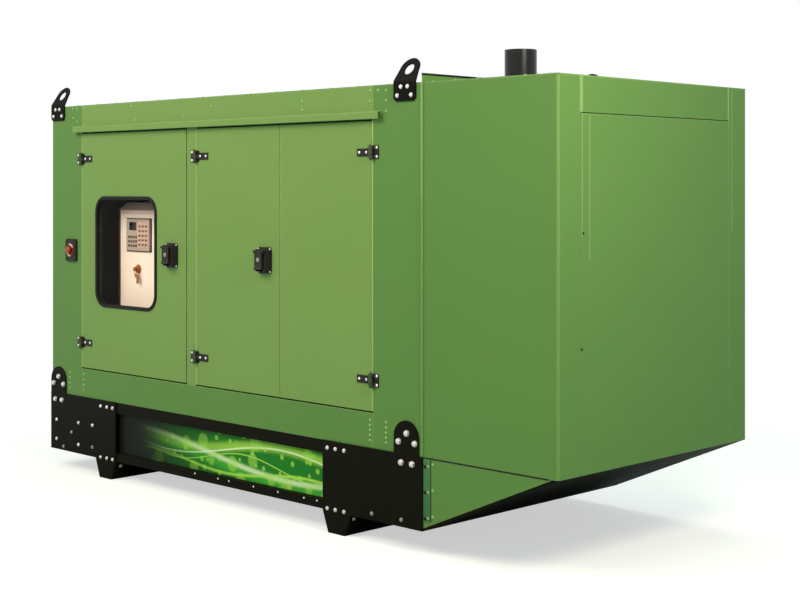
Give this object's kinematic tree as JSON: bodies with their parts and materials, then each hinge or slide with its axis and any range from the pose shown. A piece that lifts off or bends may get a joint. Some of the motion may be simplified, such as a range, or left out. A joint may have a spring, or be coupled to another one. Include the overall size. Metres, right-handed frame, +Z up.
{
  "type": "soundproofed diesel generating set",
  "caption": "Soundproofed diesel generating set: green sheet canopy with hinged side doors, a glazed control door, an overhanging air hood, lifting lugs and a black steel base on feet.",
  "frame": {"origin": "on the ground, at the middle of the whole length and width", "axes": "+X along the set towards the air-discharge hood, -Y out of the door side, +Z up"},
  "size_m": [3.992, 1.613, 2.395],
  "materials": {
    "canopy_green": "satin",
    "base_black": "satin",
    "lug_black": "satin",
    "fitting_black": "matte",
    "hinge_black": "satin",
    "foam_grey": "matte",
    "gasket_rubber": "matte",
    "pane_clear": "clear",
    "stop_plastic": "satin",
    "stop_red": "gloss",
    "cabinet_beige": "satin",
    "controller_grey": "satin",
    "engine_grey": "satin",
    "alternator_grey": "satin",
    "radiator_black": "matte",
    "rail_black": "satin",
    "exhaust_black": "satin"
  },
  "bodies": {
    "frame": {"side_beams": "base_black", "end_beams": "base_black", "corner_plates": "base_black", "foot_rails": "base_black", "fuel_tank": "base_black", "bay_floor": "base_black", "near_left_post": "canopy_green", "near_right_post": "canopy_green", "near_mullion": "canopy_green", "near_top_rail": "canopy_green", "near_bottom_rail": "canopy_green", "far_posts": "canopy_green", "far_rails": "canopy_green", "far_doors": "canopy_green", "door_frames": "canopy_green", "hinge_leaves": "hinge_black", "far_door_fittings": "fitting_black", "stop_box": "stop_plastic", "drip_rails": "canopy_green", "roof_panel": "canopy_green", "left_end_wall": "canopy_green", "intake_louvre": "canopy_green", "joint_flange": "canopy_green", "hood_side_panels": "canopy_green", "hood_end_frame": "canopy_green", "hood_end_panel": "canopy_green", "hood_underside": "base_black", "hood_gussets": "canopy_green", "hood_roof": "canopy_green", "outlet_grille": "base_black", "bulkhead": "base_black", "lifting_lugs": "lug_black", "exhaust_stub": "exhaust_black", "control_cabinet": "cabinet_beige", "controller": "controller_grey", "engine_rails": "rail_black", "alternator": "alternator_grey", "engine_block": "engine_grey", "radiator": "radiator_black", "fan_shroud": "radiator_black", "fan": "radiator_black"},
    "control_leaf": {"control_door": "canopy_green", "control_door_liner": "foam_grey", "window_gasket": "gasket_rubber", "window_pane": "pane_clear", "control_door_fittings": "fitting_black"},
    "left_leaf": {"left_door": "canopy_green", "left_door_liner": "foam_grey", "left_door_fittings": "fitting_black"},
    "right_leaf": {"right_door": "canopy_green", "right_door_liner": "foam_grey", "right_door_straps": "hinge_black"},
    "control_latch_paddle": {"control_paddle": "fitting_black"},
    "pair_latch_paddle": {"pair_paddle": "fitting_black"},
    "stop_plunger": {"stop_button": "stop_red"}
  },
  "joints": [
    {"name": "control_door_hinge", "type": "hinge", "parent": "frame", "child": "control_leaf", "pos_m": [-1.662, -0.764, 1.339], "axis": [0, 0, -1], "range_deg": [0, 105]},
    {"name": "left_door_hinge", "type": "hinge", "parent": "frame", "child": "left_leaf", "pos_m": [-0.539, -0.764, 1.339], "axis": [0, 0, -1], "range_deg": [0, 105]},
    {"name": "right_door_hinge", "type": "hinge", "parent": "frame", "child": "right_leaf", "pos_m": [0.85, -0.764, 1.339], "axis": [0, 0, 1], "range_deg": [0, 105]},
    {"name": "control_paddle_hinge", "type": "hinge", "parent": "control_leaf", "child": "control_latch_paddle", "pos_m": [-0.763, -0.796, 1.385], "axis": [-1, 0, 0], "range_deg": [0, 40], "stiffness_Nm_per_rad": 0.6},
    {"name": "pair_paddle_hinge", "type": "hinge", "parent": "left_leaf", "child": "pair_latch_paddle", "pos_m": [0.0445, -0.796, 1.385], "axis": [-1, 0, 0], "range_deg": [0, 40], "stiffness_Nm_per_rad": 0.6},
    {"name": "stop_button_slide", "type": "slide", "parent": "frame", "child": "stop_plunger", "axis": [0, 1, 0], "range_m": [0, 0.005], "stiffness_N_per_m": 2000}
  ]
}
